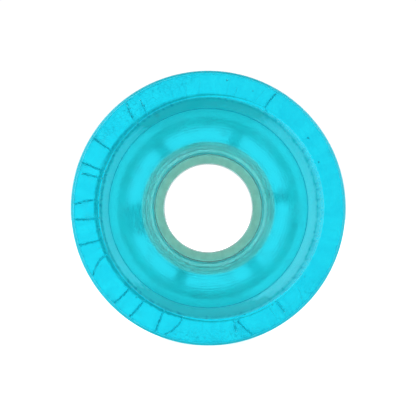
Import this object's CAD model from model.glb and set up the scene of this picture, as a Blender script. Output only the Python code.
import math
import random

import bmesh
import bpy
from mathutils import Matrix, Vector, noise


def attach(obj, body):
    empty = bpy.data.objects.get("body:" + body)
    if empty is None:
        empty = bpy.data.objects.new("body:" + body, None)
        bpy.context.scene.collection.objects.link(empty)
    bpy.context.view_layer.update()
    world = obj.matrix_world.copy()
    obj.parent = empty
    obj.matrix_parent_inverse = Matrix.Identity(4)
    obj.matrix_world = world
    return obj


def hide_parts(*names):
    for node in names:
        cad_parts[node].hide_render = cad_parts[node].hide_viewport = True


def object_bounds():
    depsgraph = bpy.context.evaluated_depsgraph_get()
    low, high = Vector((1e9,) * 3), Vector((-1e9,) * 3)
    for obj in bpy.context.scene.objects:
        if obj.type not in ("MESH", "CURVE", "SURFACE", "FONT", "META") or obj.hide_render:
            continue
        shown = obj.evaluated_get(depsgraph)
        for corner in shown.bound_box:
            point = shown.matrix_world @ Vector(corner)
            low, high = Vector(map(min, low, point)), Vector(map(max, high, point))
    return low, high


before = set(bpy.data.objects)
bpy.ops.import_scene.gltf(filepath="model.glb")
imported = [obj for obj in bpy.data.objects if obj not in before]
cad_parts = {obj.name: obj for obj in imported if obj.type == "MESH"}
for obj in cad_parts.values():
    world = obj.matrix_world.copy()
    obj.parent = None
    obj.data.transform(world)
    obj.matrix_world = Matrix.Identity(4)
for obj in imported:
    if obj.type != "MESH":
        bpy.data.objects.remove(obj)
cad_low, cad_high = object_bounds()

mm = 0.001
seat_radius = 11 * mm
mouth_edge = 12.3 * mm
sleeve_edge = 13.2 * mm
bare_plastic = ((0.19, 0.49, 0.41), (0.25, 0.59, 0.49))
cast_in_plastic = ((0.17, 0.98, 0.97), (0.27, 1.0, 1.0))


def add_node(tree, kind, values=(), **settings):
    """Add a shader node, with its settings and the values of its free inputs."""
    made = tree.nodes.new("ShaderNode" + kind)
    for name, value in settings.items():
        setattr(made, name, value)
    for name, value in dict(values).items():
        made.inputs[name].default_value = value
    return made


def ramp(tree, value, low, high, start=0.0, end=1.0):
    """Step smoothly from start to end as a value goes from low to high."""
    step = add_node(
        tree,
        "MapRange",
        {"From Min": low, "From Max": high, "To Min": start, "To Max": end},
        interpolation_type="SMOOTHSTEP",
    )
    tree.links.new(value, step.inputs["Value"])
    return step.outputs["Result"]


def maths(tree, operation, *values):
    """Combine values, each a socket or a number."""
    made = add_node(tree, "Math", operation=operation)
    for slot_number, value in enumerate(values):
        if isinstance(value, (int, float)):
            made.inputs[slot_number].default_value = value
        else:
            tree.links.new(value, made.inputs[slot_number])
    return made.outputs["Value"]


def blend(tree, factor, first, second):
    """Mix two colours, each a socket or three numbers."""
    mixed = add_node(tree, "Mix", data_type="RGBA")
    tree.links.new(factor, mixed.inputs["Factor"])
    for name, colour in (("A", first), ("B", second)):
        if isinstance(colour, tuple):
            mixed.inputs[name].default_value = (*colour, 1)
        else:
            tree.links.new(colour, mixed.inputs[name])
    return mixed.outputs["Result"]


def cloud(tree, vector, scale, detail=2.0, stretch=(1, 1, 1)):
    """Seamless noise, its scale counted per millimetre."""
    stretched = add_node(tree, "Mapping", {"Scale": stretch})
    tree.links.new(vector, stretched.inputs["Vector"])
    made = add_node(tree, "TexNoise", {"Scale": scale / mm, "Detail": detail})
    tree.links.new(stretched.outputs["Vector"], made.inputs["Vector"])
    return made.outputs["Fac"]


# Where a point lies on the wheel: its radius, its distance from the middle plane,
# and a noise whose streaks run out along the radius, as the casting's do. The noise
# is taken on a ring of one size, and changes only slowly as the radius grows
streak_ring = 25 * mm
streak_growth = 0.2
wheel_place = bpy.data.node_groups.new("wheel_place", "ShaderNodeTree")
for socket_name, socket_type in (
    ("Radius", "NodeSocketFloat"),
    ("Depth", "NodeSocketFloat"),
    ("Streaks", "NodeSocketFloat"),
):
    wheel_place.interface.new_socket(socket_name, in_out="OUTPUT", socket_type=socket_type)
group_output = wheel_place.nodes.new("NodeGroupOutput")
point = add_node(wheel_place, "TexCoord")
axes = add_node(wheel_place, "SeparateXYZ")
wheel_place.links.new(point.outputs["Object"], axes.inputs["Vector"])
flat = add_node(wheel_place, "CombineXYZ")
wheel_place.links.new(axes.outputs["X"], flat.inputs["X"])
wheel_place.links.new(axes.outputs["Z"], flat.inputs["Z"])
length = add_node(wheel_place, "VectorMath", operation="LENGTH")
wheel_place.links.new(flat.outputs["Vector"], length.inputs[0])
outward = add_node(wheel_place, "VectorMath", operation="NORMALIZE")
wheel_place.links.new(flat.outputs["Vector"], outward.inputs[0])
turned = add_node(wheel_place, "VectorMath", {"Scale": streak_ring}, operation="SCALE")
wheel_place.links.new(outward.outputs["Vector"], turned.inputs[0])
slow = maths(wheel_place, "MULTIPLY", length.outputs["Value"], streak_growth)
lift = add_node(wheel_place, "CombineXYZ")
wheel_place.links.new(slow, lift.inputs["Y"])
streaks = add_node(wheel_place, "VectorMath", operation="ADD")
wheel_place.links.new(turned.outputs["Vector"], streaks.inputs[0])
wheel_place.links.new(lift.outputs["Vector"], streaks.inputs[1])
wheel_place.links.new(length.outputs["Value"], group_output.inputs["Radius"])
wheel_place.links.new(
    maths(wheel_place, "ABSOLUTE", axes.outputs["Y"]), group_output.inputs["Depth"]
)
wheel_place.links.new(
    cloud(wheel_place, streaks.outputs["Vector"], 0.7, 4.0), group_output.inputs["Streaks"]
)


def new_material(name):
    """Start a material, and give its node tree, its shader and where a point lies."""
    material = bpy.data.materials.new(name)
    material.use_nodes = True
    tree = material.node_tree
    place = add_node(tree, "Group")
    place.node_tree = wheel_place
    return material, tree, tree.nodes["Principled BSDF"], place.outputs


core_material, tree, shader, place = new_material("natural_plastic")
shader.inputs["IOR"].default_value = 1.5
shader.inputs["Transmission Weight"].default_value = 0.93
shader.inputs["Subsurface Weight"].default_value = 1.0
shader.inputs["Subsurface Radius"].default_value = (3.0, 8.0, 8.0)
shader.inputs["Subsurface Scale"].default_value = 1 * mm

# The seats and the stop between them are bare and duller. Further out the plastic
# keeps a clean, milky look under the polyurethane
solid_point = add_node(tree, "TexCoord").outputs["Object"]
flow = cloud(tree, solid_point, 0.35, 3.0, (1, 0.4, 1))
cast_in = blend(tree, ramp(tree, flow, 0.35, 0.65), *cast_in_plastic)
smear = cloud(tree, solid_point, 0.8, 4.0)
bare = blend(tree, ramp(tree, smear, 0.35, 0.65), *bare_plastic)
covered = ramp(tree, place["Radius"], seat_radius, seat_radius + 0.1 * mm)
tree.links.new(blend(tree, covered, bare, cast_in), shader.inputs["Base Color"])

# It is rubbed all over, and most round the mouth of each seat
rub = ramp(tree, cloud(tree, solid_point, 2.5, 3.0, (1, 6, 1)), 0.3, 0.7, 0.3, 0.42)
mouth = ramp(tree, place["Radius"], seat_radius - 0.1 * mm, seat_radius + 0.1 * mm)
inside_sleeve = ramp(tree, place["Radius"], mouth_edge, sleeve_edge, 1.0, 0.0)
mouth = maths(tree, "MULTIPLY", mouth, inside_sleeve)
rub = maths(tree, "ADD", rub, maths(tree, "MULTIPLY", mouth, 0.28))
tree.links.new(rub, shader.inputs["Roughness"])
grain = add_node(tree, "Bump", {"Strength": 0.15, "Distance": 0.02 * mm})
tree.links.new(cloud(tree, solid_point, 7.0), grain.inputs["Height"])
tree.links.new(grain.outputs["Normal"], shader.inputs["Normal"])

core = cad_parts["core"]
core.data.materials.clear()
core.data.materials.append(core_material)

# ---------------------------------------------------------------------------
# Tyre. Clear cyan polyurethane, poured round the core in an open mould. Its
# two sides are then faced on a lathe, a little off centre, so that the cut
# leaves a crescent on the raised ring. Age has crazed both faces.
# ---------------------------------------------------------------------------
wheel_radius = cad_high.x
half_width = cad_high.y
half_tread = half_width - 1.2 * mm
shoulder_radius = 27.5 * mm
shoulder_end = half_width - 0.6 * mm
tread_rounding = 0.2 * mm
tube_radius = 11.93 * mm
face_end = half_width - 1.6 * mm
dish_radius = 20.25 * mm
rear_growth = 0.85 * mm

# In the dish: a fine seam round the sleeve, and the tool's mark at the outer edge
seam_radius = 12.7 * mm
seam_reach = 0.1 * mm
seam_depth = 0.03 * mm
mark_reach = 0.06 * mm
mark_depth = 0.05 * mm
mark_strength = 0.75

# The raised ring's radius wanders in waves, given by their number round the wheel and
# their size. At the front the facet lies between the ring and the circle of the cut
ring_radius = 22.3 * mm
ring_wander = ((2, 0.05 * mm), (3, 0.08 * mm), (5, 0.04 * mm))
cut_radius = 22.75 * mm
cut_offset = 0.85 * mm
least_facet = 0.25 * mm
facet_slope = 0.36
rear_crest_in = 0.18 * mm
rear_crest_out = 0.07 * mm
crest_in_rounding = 0.12 * mm
crest_out_rounding = 0.1 * mm

# How finely the outline is divided: over the dish, up the step and across the face
dish_rows = (13.4 * mm, 16.5 * mm)
wall_rows = 8
face_rows = 24


def crest_radii(angle, growth):
    """The inner and outer radius of the ring's crest, which at the front is the facet."""
    ring = ring_radius + sum(size * math.cos(k * angle + k) for k, size in ring_wander)
    if growth:
        return ring + growth - rear_crest_in, ring + growth + rear_crest_out
    cut = cut_offset * math.cos(angle) + math.sqrt(
        cut_radius**2 - (cut_offset * math.sin(angle)) ** 2
    )
    facet = max(abs(ring - cut), least_facet)
    middle = (ring + cut) / 2
    return middle - facet / 2, middle + facet / 2


def rounded(corner, before, after, reach, steps):
    """Points on a small curve that takes the corner off between two straight runs."""
    ends = []
    for other in (before, after):
        run = math.dist(corner, other)
        ends.append([c + (o - c) * reach / run for c, o in zip(corner, other)])
    points = []
    for step in range(steps + 1):
        t = step / steps
        points.append(
            tuple(
                (1 - t) ** 2 * a + 2 * t * (1 - t) * c + t * t * b
                for a, c, b in zip(ends[0], corner, ends[1])
            )
        )
    return points


def between(a, b, steps):
    """Points inside a straight run, evenly spaced."""
    return [
        (a[0] + (b[0] - a[0]) * i / steps, a[1] + (b[1] - a[1]) * i / steps)
        for i in range(1, steps)
    ]


def side_outline(angle, growth):
    """Half the tyre's outline, in points of radius and depth, from sleeve to tread."""
    inner, outer = crest_radii(angle, growth)
    drop = facet_slope * (outer - inner)
    dish = (dish_radius + growth, face_end)
    crest_in = (inner, half_width - drop)
    crest_out = (outer, half_width)
    shoulder = (shoulder_radius, shoulder_end)
    tread = (wheel_radius, half_tread)
    line = [(tube_radius, 0.0), (tube_radius, face_end)]
    line += [
        (seam_radius - seam_reach, face_end),
        (seam_radius, face_end - seam_depth),
        (seam_radius + seam_reach, face_end),
    ]
    line += [(radius, face_end) for radius in dish_rows]
    line += [(dish[0] - mark_reach, face_end), (dish[0], face_end - mark_depth)]
    line += between(dish, crest_in, wall_rows)
    line += rounded(crest_in, dish, crest_out, crest_in_rounding, 4)
    line += rounded(crest_out, crest_in, shoulder, crest_out_rounding, 3)
    line += between(crest_out, shoulder, face_rows)
    line += rounded(shoulder, crest_out, tread, tread_rounding, 4)
    line += rounded(tread, shoulder, (wheel_radius, 0.0), tread_rounding, 4)
    line += [(wheel_radius, half_tread * share) for share in (0.8, 0.5, 0.25)]
    return line


# Crazing. Each crack has its angle at the shoulder and at the ring, in degrees from
# +X towards +Z, where it starts and stops between the two, and its strength
cracks = (
    (59.2, 60.6, 0.0, 0.9, 0.9),
    (63.5, 66.5, 0.1, 0.8, 0.4),
    (75.5, 77.0, 0.0, 0.5, 0.5),
    (80.3, 80.8, 0.1, 0.8, 0.35),
    (92.0, 94.8, 0.0, 0.6, 0.4),
    (99.0, 101.2, 0.0, 0.7, 0.4),
    (106.5, 107.5, 0.2, 0.5, 0.4),
    (121.5, 122.8, 0.0, 0.7, 0.6),
    (127.8, 130.0, 0.0, 1.0, 0.6),
    (141.5, 141.8, 0.0, 0.4, 0.3),
    (148.4, 149.3, 0.0, 1.0, 1.0),
    (160.0, 160.5, 0.0, 1.0, 1.0),
    (164.8, 164.3, 0.0, 0.8, 0.8),
    (178.4, 176.0, 0.0, 1.0, 0.8),
    (184.8, 185.4, 0.0, 1.0, 1.0),
    (196.0, 196.4, 0.0, 1.0, 1.0),
    (201.5, 200.2, 0.0, 0.4, 0.4),
    (210.5, 204.4, 0.0, 1.0, 0.7),
    (225.3, 225.7, 0.0, 1.0, 1.0),
    (234.0, 235.2, 0.0, 1.0, 1.0),
    (246.7, 246.6, 0.0, 1.0, 1.0),
    (250.6, 256.8, 0.0, 1.0, 0.6),
    (268.0, 267.0, 0.1, 0.5, 0.3),
    (282.3, 282.8, 0.0, 0.6, 0.7),
    (290.2, 284.9, 0.0, 1.0, 0.7),
    (302.0, 301.6, 0.0, 0.6, 0.4),
    (306.5, 306.2, 0.0, 0.7, 0.7),
    (314.2, 319.0, 0.2, 1.0, 0.5),
    (350.0, 349.8, 0.0, 0.9, 0.3),
)
crack_width = 0.26 * mm
crack_depth = 0.25 * mm
least_open_strength = 0.5
crack_sway = 0.35
crack_shake = 0.34
face_radius = 25 * mm
half_crack = crack_width / 2 / face_radius
crack_lines = [math.radians((outer + inner) / 2) for outer, inner, *_ in cracks]


def crack_shape(number, share, side):
    """How far a crack strays from its line, and how strong it is, part way up the face."""
    outer, inner, start, stop, strength = cracks[number]
    seed = 10.0 * number + 500.0 * side
    angle = inner + (outer - inner) * share**1.5
    angle += crack_sway * noise.noise((seed, share * 5.0, 0.0))
    angle += crack_shake * noise.noise((seed, share * 21.0, 4.0))
    open_here = 1.0 if start <= share <= stop else 0.0
    gaps = min(1.0, max(0.2, 0.85 + 1.1 * noise.noise((seed, share * 13.0, 9.0))))
    ends = min(1.0, (share + 0.02) * 12.0, (1.02 - share) * 12.0)
    return math.radians(angle) - crack_lines[number], strength * open_here * gaps * ends


def strays(share, side):
    """How far each of the cracks strays, part way up the face."""
    return [crack_shape(number, share, side)[0] for number in range(len(cracks))]


def follow(angle, shifts):
    """How far a column leans, so that the mesh follows the cracks on either side."""
    count = len(crack_lines)
    high = next((n for n in range(count) if angle <= crack_lines[n] + 1e-9), 0)
    low = (high - 1) % count
    gap = (crack_lines[high] - crack_lines[low]) % (2 * math.pi)
    here = (angle - crack_lines[low]) % (2 * math.pi)
    edge = half_crack * 1.01
    if gap - here > gap - edge or here < edge:
        return shifts[low]
    t = min(1.0, (here - edge) / (gap - 2 * edge))
    return shifts[low] + (shifts[high] - shifts[low]) * t


# The step from dish to ring: the lathe tore it white at the right and at the left,
# and it is deep in colour between. Wall is nought at the dish and one at the crest
frost_fade_degrees = 8.0
frost_wander_degrees = 7.0
crest_reach = 0.15
kept_shade = 0.8
torn_strength_left = 0.5
torn_strength_right = 0.3


def frost_and_shade(degrees, wall, side):
    """How frosted, and how deep in colour, the step is at a point."""
    low = 1 - wall
    right_side = (-(48 + 16 * low), 52 + 9 * low)
    left_side = (137 - 8 * low, 222 + 8 * low)
    turn = (degrees + 180) % 360 - 180
    ragged = frost_wander_degrees * noise.noise((degrees * 0.25, wall * 5.0, 30.0 + side))
    frost = 0.0
    for here, (start, end) in ((turn, right_side), (degrees, left_side)):
        edge = min(here - start, end - here) + ragged
        frost = max(frost, min(1.0, max(0.0, edge / frost_fade_degrees + 0.5)))
    upper = 0.85 if 90 < degrees < 270 else 1.0
    upper += 0.2 * noise.noise((degrees * 0.25, 7.0, 11.0 + side))
    frost *= min(1.0, max(0.0, (upper - wall) * 6.0))
    shade = 1.0 - frost
    if wall > 1.0:
        kept = kept_shade if 138 < degrees < 212 else 0.0
        return 0.0, shade * max(kept, 1.0 - (wall - 1.0) / crest_reach)
    return frost, shade


def torn_crest(degrees, wall, side):
    """How strongly the crest is torn at a point, as a share of an open crack."""
    if not 0.82 < wall < 1.12:
        return 0.0
    torn = torn_strength_left if 105 < degrees < 255 else torn_strength_right
    torn *= 0.8 + 1.2 * noise.noise((degrees * 0.6, 3.0, 5.0 + side))
    torn *= 0.9 + 1.6 * noise.noise((degrees * 1.7, wall * 9.0, 8.0))
    return min(1.0, torn)


# Columns run round the wheel, three of them at each crack, and each is an outline
column_degrees = 0.75
column_count = round(360 / column_degrees)
crack_clearance = math.radians(0.4)
columns = [
    (angle, None)
    for angle in (math.radians(column_degrees * step) for step in range(column_count))
    if all(abs(angle - line) > crack_clearance for line in crack_lines)
]
for number, line in enumerate(crack_lines):
    columns += [(line - half_crack, None), (line, number), (line + half_crack, None)]
columns.sort(key=lambda column: column[0])

points, crazing, frosting, shading = [], [], [], []
stray_cache = {}
for angle, number in columns:
    degrees = math.degrees(angle)
    ring = []
    for side, growth in ((0, 0.0), (1, rear_growth)):
        inner, outer = crest_radii(angle, growth)
        half = []
        for radius, depth in side_outline(angle, growth):
            share = (radius - outer) / (shoulder_radius - outer)
            held = min(1.0, max(0.0, share))
            turn = 0.0
            crack = frost = shade = 0.0
            if depth >= face_end and radius > dish_radius:
                key = (side, round(held, 4))
                if key not in stray_cache:
                    stray_cache[key] = strays(held, side)
                fade = max(0.0, 1.0 - abs(share - held) * 6.0)
                turn = follow(angle, stray_cache[key]) * fade
                if number is not None and share == held:
                    crack = crack_shape(number, share, side)[1]
                    if cracks[number][4] > least_open_strength:
                        depth -= crack_depth * crack
                wall = (radius - dish_radius - growth) / (inner - dish_radius - growth)
                if wall <= 1.0 + crest_reach and radius < outer:
                    frost, shade = frost_and_shade(degrees, wall, side)
                    crack = max(crack, torn_crest(degrees, wall, side))
            if abs(radius - dish_radius - growth) < 0.0001 * mm:
                crack = mark_strength
            half.append((radius, depth, angle + turn, crack, frost, shade))
        if side == 0:
            ring += [(r, -y, a, *rest) for r, y, a, *rest in half]
            ring.append((wheel_radius, 0.0, angle, 0.0, 0.0, 0.0))
        else:
            ring += half[:0:-1]
    points += [(r * math.cos(a), y, r * math.sin(a)) for r, y, a, *_ in ring]
    crazing += [spot[3] for spot in ring]
    frosting += [spot[4] for spot in ring]
    shading += [spot[5] for spot in ring]
rows = len(ring)
faces = [
    (c * rows + i, c * rows + (i + 1) % rows, d * rows + (i + 1) % rows, d * rows + i)
    for c, d in ((c, (c + 1) % len(columns)) for c in range(len(columns)))
    for i in range(rows)
]
poured_mesh = bpy.data.meshes.new("poured_tyre")
poured_mesh.from_pydata(points, [], faces)
for name, values in (("crazing", crazing), ("frosting", frosting), ("shading", shading)):
    marks = poured_mesh.attributes.new(name, "FLOAT", "POINT")
    marks.data.foreach_set("value", values)
shell = bmesh.new()
shell.from_mesh(poured_mesh)
bmesh.ops.recalc_face_normals(shell, faces=shell.faces)
shell.to_mesh(poured_mesh)
shell.free()
poured_mesh.shade_smooth()
poured = bpy.data.objects.new("poured_tyre", poured_mesh)
bpy.context.collection.objects.link(poured)

# The core leaves its own shape in the casting, bonded a hair inside its surface
bond = 0.03 * mm
hollow_mesh = core.data.copy()
hollow = bmesh.new()
hollow.from_mesh(hollow_mesh)
bmesh.ops.remove_doubles(hollow, verts=hollow.verts, dist=0.001 * mm)
bmesh.ops.recalc_face_normals(hollow, faces=hollow.faces)
hollow.normal_update()
for vert, normal in [(v, v.normal.copy()) for v in hollow.verts]:
    vert.co -= normal * bond
hollow.to_mesh(hollow_mesh)
hollow.free()
hollow_shape = bpy.data.objects.new("core_hollow", hollow_mesh)
hollow_shape.matrix_world = core.matrix_world
bpy.context.collection.objects.link(hollow_shape)
casting = poured.modifiers.new("casting", "BOOLEAN")
casting.operation = "DIFFERENCE"
casting.solver = "EXACT"
casting.object = hollow_shape
bpy.context.view_layer.update()
seen = poured.evaluated_get(bpy.context.evaluated_depsgraph_get())
tyre_mesh = bpy.data.meshes.new_from_object(seen)
tyre_mesh.name = "cast_tyre"
tyre_mesh.attributes.remove(tyre_mesh.attributes["custom_normal"])
bpy.data.objects.remove(hollow_shape)
bpy.data.objects.remove(poured)

# A few small air bubbles are left in the casting, as hollows in its mesh: two in the
# step, given by angle, radius, depth and size, and strays deeper in
stray_bubbles = 14
random.seed(8)
body = bmesh.new()
body.from_mesh(tyre_mesh)
bubbles = [(math.radians(119), 21.6 * mm, -12.8 * mm, 0.38 * mm)]
bubbles.append((math.radians(191), 22.6 * mm, -12.9 * mm, 0.15 * mm))
for _ in range(stray_bubbles):
    angle = random.uniform(0, 2 * math.pi)
    radius = random.uniform(20.5, 26.5) * mm
    depth = random.uniform(-11.0, 11.0) * mm
    bubbles.append((angle, radius, depth, random.uniform(0.1, 0.24) * mm))
for angle, radius, depth, size in bubbles:
    made = bmesh.ops.create_icosphere(body, subdivisions=2, radius=size)
    centre = Vector((radius * math.cos(angle), depth, radius * math.sin(angle)))
    bmesh.ops.translate(body, vec=centre, verts=made["verts"])
    skin = list({face for vert in made["verts"] for face in vert.link_faces})
    bmesh.ops.reverse_faces(body, faces=skin)
body.to_mesh(tyre_mesh)
body.free()

# It is shaded smooth, but for the edges that turn more than this
sharp_degrees = 25
tyre_mesh.shade_smooth()
tyre_mesh.set_sharp_from_angle(angle=math.radians(sharp_degrees))
tyre = bpy.data.objects.new("cast_tyre", tyre_mesh)
bpy.context.collection.objects.link(tyre)
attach(tyre, "root")
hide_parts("tyre")

# The clear polyurethane takes these tints where its surface is marked
untinted = (1.0, 1.0, 1.0)
streak_tint = (0.84, 0.94, 0.96)
speck_tint = (0.74, 0.90, 0.93)
hair_tint = (0.10, 0.45, 0.52)
shade_tint = (0.05, 0.60, 0.52)
frost_tint = (0.62, 0.90, 0.81)
crack_tint = (0.03, 0.30, 0.36)
shoulder_tint = (0.35, 0.78, 0.84)

tyre_material, tree, shader, place = new_material("clear_polyurethane")
shader.inputs["IOR"].default_value = 1.5
shader.inputs["Transmission Weight"].default_value = 1.0

# Which marks the mesh has at a point, and which part of the surface that point is on
solid_point = add_node(tree, "TexCoord").outputs["Object"]
crack_mask = add_node(tree, "Attribute", attribute_name="crazing").outputs["Fac"]
frost_mask = add_node(tree, "Attribute", attribute_name="frosting").outputs["Fac"]
shade_mask = add_node(tree, "Attribute", attribute_name="shading").outputs["Fac"]
outside = ramp(tree, place["Depth"], 11.9 * mm, 12.1 * mm)
on_face = ramp(tree, place["Radius"], 22.0 * mm, 22.2 * mm)
on_tread = ramp(tree, place["Radius"], shoulder_radius - 0.3 * mm, shoulder_radius)

# Fine grain where the lathe tore the step, and streaks out along the face
torn = cloud(tree, solid_point, 4.5, 3.0)
torn_step = maths(tree, "MULTIPLY", frost_mask, ramp(tree, torn, 0.35, 0.65, 0.45, 1.0))
streak = place["Streaks"]
blotch = cloud(tree, solid_point, 0.3, 3.0)
speck = cloud(tree, solid_point, 2.2, 3.0)

# The dish is hazy from its turning, the face nearly polished and the tread rubbed
face_haze = ramp(tree, place["Radius"], 20.3 * mm, 20.6 * mm, 0.36, 0.1)
haze = maths(tree, "ADD", face_haze, maths(tree, "MULTIPLY", torn_step, 0.55))
haze = maths(tree, "ADD", haze, maths(tree, "MULTIPLY", shade_mask, 0.4))
haze = maths(tree, "ADD", haze, ramp(tree, blotch, 0.5, 0.7, 0.0, 0.15))
haze = maths(tree, "ADD", haze, maths(tree, "MULTIPLY", crack_mask, 0.5))
haze = maths(tree, "MULTIPLY", haze, outside)
haze = maths(tree, "ADD", haze, maths(tree, "MULTIPLY", on_tread, 0.2))
tree.links.new(haze, shader.inputs["Roughness"])
shader.inputs["Coat Roughness"].default_value = 0.6
shader.inputs["Coat IOR"].default_value = 1.8
tree.links.new(maths(tree, "MULTIPLY", torn_step, 0.55), shader.inputs["Coat Weight"])

clear = blend(tree, ramp(tree, streak, 0.35, 0.65), streak_tint, untinted)
fine = blend(tree, ramp(tree, speck, 0.3, 0.7), speck_tint, untinted)
grainy = add_node(tree, "Mix", {"Factor": 1.0}, data_type="RGBA", blend_type="MULTIPLY")
tree.links.new(clear, grainy.inputs["A"])
tree.links.new(fine, grainy.inputs["B"])
clear = blend(tree, on_face, untinted, grainy.outputs["Result"])

# Between its cracks the face is crazed into a net of hairs, seen in faint patches and
# best in three sectors: the part of the face that lies beyond a reach from the axle,
# measured towards an angle in degrees
crazed_sectors = ((122, 22 * mm), (272, 23.5 * mm), (314, 24.3 * mm))
warp = 2.2 * mm
wavy = add_node(tree, "VectorMath", operation="MULTIPLY_ADD")
drift = add_node(tree, "TexNoise", {"Scale": 0.8 / mm, "Detail": 4.0})
tree.links.new(solid_point, drift.inputs["Vector"])
tree.links.new(drift.outputs["Color"], wavy.inputs[0])
wavy.inputs[1].default_value = (warp, warp, warp)
tree.links.new(solid_point, wavy.inputs[2])
net = add_node(tree, "TexVoronoi", {"Scale": 0.9 / mm}, feature="DISTANCE_TO_EDGE")
tree.links.new(wavy.outputs["Vector"], net.inputs["Vector"])
hairs = ramp(tree, net.outputs["Distance"], 0.0, 0.09, 1.0, 0.0)
patches = ramp(tree, blotch, 0.5, 0.65, 0.0, 0.35)
for degrees, reach in crazed_sectors:
    angle = math.radians(degrees)
    way = add_node(tree, "VectorMath", operation="DOT_PRODUCT")
    tree.links.new(solid_point, way.inputs[0])
    way.inputs[1].default_value = (math.cos(angle), 0, math.sin(angle))
    sector = ramp(tree, way.outputs["Value"], reach, reach + 2 * mm)
    patches = maths(tree, "MAXIMUM", patches, sector)
patches = maths(tree, "MULTIPLY", patches, ramp(tree, blotch, 0.35, 0.5, 0.3, 1.0))
patches = maths(tree, "MULTIPLY", patches, ramp(tree, speck, 0.4, 0.56))
patches = maths(tree, "MULTIPLY", patches, on_face)
hairs = maths(tree, "MULTIPLY", hairs, maths(tree, "MULTIPLY", patches, 0.85))
clear = blend(tree, hairs, clear, hair_tint)
clear = blend(tree, shade_mask, clear, shade_tint)
clear = blend(tree, torn_step, clear, frost_tint)
clear = blend(tree, ramp(tree, crack_mask, 0.0, 0.8), clear, crack_tint)

# The shoulder between face and tread is a little deeper in colour
beyond_face = ramp(tree, place["Radius"], shoulder_radius - 0.2 * mm, shoulder_radius)
below_tread = ramp(
    tree, place["Radius"], wheel_radius - 0.1 * mm, wheel_radius - 0.03 * mm, 1.0, 0.0
)
shoulder_line = maths(tree, "MULTIPLY", beyond_face, below_tread)
clear = blend(tree, shoulder_line, clear, shoulder_tint)
tree.links.new(clear, shader.inputs["Base Color"])

# Relief: turning marks in the dish, fainter outwards, unevenness on the face and
# torn grain on the step
turning_pitch = 0.55 * mm
turns = maths(tree, "MULTIPLY", place["Radius"], 2 * math.pi / turning_pitch)
turning = maths(tree, "SINE", turns)
fainter = ramp(tree, place["Radius"], 15 * mm, 19 * mm, 0.5, 0.1)
turning = maths(tree, "MULTIPLY", turning, fainter)
turning = maths(tree, "MULTIPLY", turning, ramp(tree, blotch, 0.35, 0.6, 0.3, 1.0))
ripple = add_node(tree, "Bump", {"Strength": 0.4, "Distance": 0.05 * mm})
uneven = maths(tree, "ADD", streak, maths(tree, "MULTIPLY", speck, 0.5))
relief = add_node(tree, "Mix")
tree.links.new(on_face, relief.inputs["Factor"])
tree.links.new(turning, relief.inputs["A"])
tree.links.new(uneven, relief.inputs["B"])
tree.links.new(relief.outputs["Result"], ripple.inputs["Height"])
tear = add_node(tree, "Bump", {"Strength": 0.8, "Distance": 0.05 * mm})
torn_up = maths(tree, "SUBTRACT", torn, 0.5)
tree.links.new(maths(tree, "MULTIPLY", torn_up, frost_mask), tear.inputs["Height"])
tree.links.new(ripple.outputs["Normal"], tear.inputs["Normal"])
tree.links.new(tear.outputs["Normal"], shader.inputs["Normal"])

# Inside, it is dyed cyan all through
dye = {"Color": (0.0, 0.908, 0.957, 1), "Density": 165.0}
volume = add_node(tree, "VolumeAbsorption", dye)
tree.links.new(volume.outputs["Volume"], tree.nodes["Material Output"].inputs["Volume"])
tyre_mesh.materials.clear()
tyre_mesh.materials.append(tyre_material)

# ---------------------------------------------------------------------------
# Studio. The wheel stands on its tread on a plain pale floor, inside a white
# cloth tent. The tent has a dark gap for the camera and a lamp behind the wheel,
# and its cloth is dimmer overhead, below and beside the wheel.
# ---------------------------------------------------------------------------
floor_reach = 4.0
floor_corners = ((-1, -1), (1, -1), (1, 1), (-1, 1))
floor_mesh = bpy.data.meshes.new("pale_floor")
floor_mesh.from_pydata(
    [(x * floor_reach, y * floor_reach, cad_low.z) for x, y in floor_corners],
    [],
    [(0, 1, 2, 3)],
)
floor = bpy.data.objects.new("pale_floor", floor_mesh)
bpy.context.collection.objects.link(floor)

# The floor isn't seen through the wheel or mirrored in it, where it would draw a line
floor.visible_transmission = False
floor.visible_glossy = False
floor_material = bpy.data.materials.new("pale_paper")
floor_material.use_nodes = True
tree = floor_material.node_tree
shader = tree.nodes["Principled BSDF"]
fibre = cloud(tree, add_node(tree, "TexCoord").outputs["Object"], 0.5)
paper = blend(tree, fibre, (0.80, 0.80, 0.80), (0.84, 0.84, 0.84))
tree.links.new(paper, shader.inputs["Base Color"])
shader.inputs["Roughness"].default_value = 0.9
shader.inputs["Emission Color"].default_value = (1, 1, 1, 1)
shader.inputs["Emission Strength"].default_value = 0.9
floor_mesh.materials.append(floor_material)

scene = bpy.context.scene
world = bpy.data.worlds.new("light_tent")
scene.world = world
world.use_nodes = True
tent = world.node_tree
direction = add_node(tent, "SeparateXYZ")
tent.links.new(add_node(tent, "TexCoord").outputs["Generated"], direction.inputs["Vector"])
sideways, along, upward = (direction.outputs[axis] for axis in "XYZ")
soft_edge = 0.05
lamp_strength = 1.2
cloth_strength = 1.25


def panel(value, low, high):
    """A band of directions, from low to high, with soft edges."""
    return maths(
        tent,
        "MULTIPLY",
        ramp(tent, value, low, low + soft_edge),
        ramp(tent, value, high - soft_edge, high, 1.0, 0.0),
    )


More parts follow.
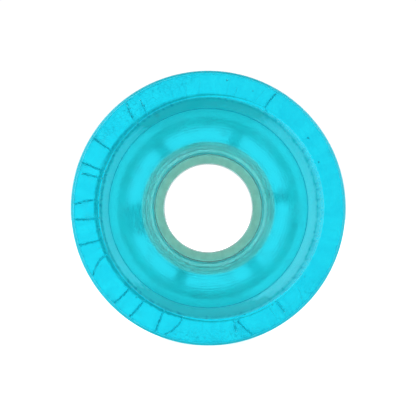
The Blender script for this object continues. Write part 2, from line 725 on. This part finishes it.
# The gap, which is wider at the right, and the dimmer cloth overhead and below
gap_edge = ramp(tent, sideways, -0.4, -0.1, 0.0, -0.22)
inward = maths(tent, "ADD", along, gap_edge)
front = ramp(tent, inward, -0.965, -0.84, 0.08, 1.0)
up_or_down = maths(tent, "ABSOLUTE", upward)
top = ramp(tent, up_or_down, 0.3, 0.95, 1.0, 0.25)
front_or_back = maths(tent, "ABSOLUTE", along)

# A lamp above and behind the wheel, and bright cloth in a ring round the gap
lamp = maths(tent, "MULTIPLY", panel(upward, 0.42, 0.85), panel(along, 0.28, 0.77))
lamp = maths(tent, "MULTIPLY", lamp, lamp_strength)
waist = ramp(tent, front_or_back, 0.1, 0.4, 0.2, 1.0)
fill = maths(
    tent,
    "MULTIPLY",
    ramp(tent, inward, -0.85, -0.7),
    ramp(tent, along, -0.4, -0.2, 1.1, 0.0),
)
lamp = maths(tent, "ADD", lamp, fill)

# All of it together, with the right side a little brighter than the left
right = ramp(tent, sideways, -0.15, 0.15, 0.93, 1.05)
level = maths(tent, "MULTIPLY", maths(tent, "MULTIPLY", front, top), cloth_strength)
level = maths(tent, "MULTIPLY", level, waist)
level = maths(tent, "ADD", maths(tent, "MULTIPLY", level, right), lamp)

# Looked at directly, the cloth is plain white all over
behind = add_node(tent, "Mix", {"B": 1.05})
seen_directly = add_node(tent, "LightPath").outputs["Is Camera Ray"]
tent.links.new(seen_directly, behind.inputs["Factor"])
tent.links.new(level, behind.inputs["A"])
tent.links.new(behind.outputs["Result"], tent.nodes["Background"].inputs["Strength"])
tent.nodes["Background"].inputs["Color"].default_value = (1, 1, 1, 1)

camera_distance = 400 * mm
camera_data = bpy.data.cameras.new("camera")
camera = bpy.data.objects.new("camera", camera_data)
bpy.context.collection.objects.link(camera)
camera_data.sensor_width = 36
camera_data.lens = 164.6
camera_data.clip_start = 0.01
camera_data.shift_x = -0.0007
camera_data.shift_y = 0.0004
camera.location = (0, -camera_distance, 0)
camera.rotation_euler = (math.radians(90), 0, 0)
scene.camera = camera
scene.view_settings.view_transform = "Standard"
scene.cycles.use_denoising = True
scene.cycles.max_bounces = 24
scene.cycles.transmission_bounces = 24
scene.cycles.glossy_bounces = 8
scene.cycles.diffuse_bounces = 4
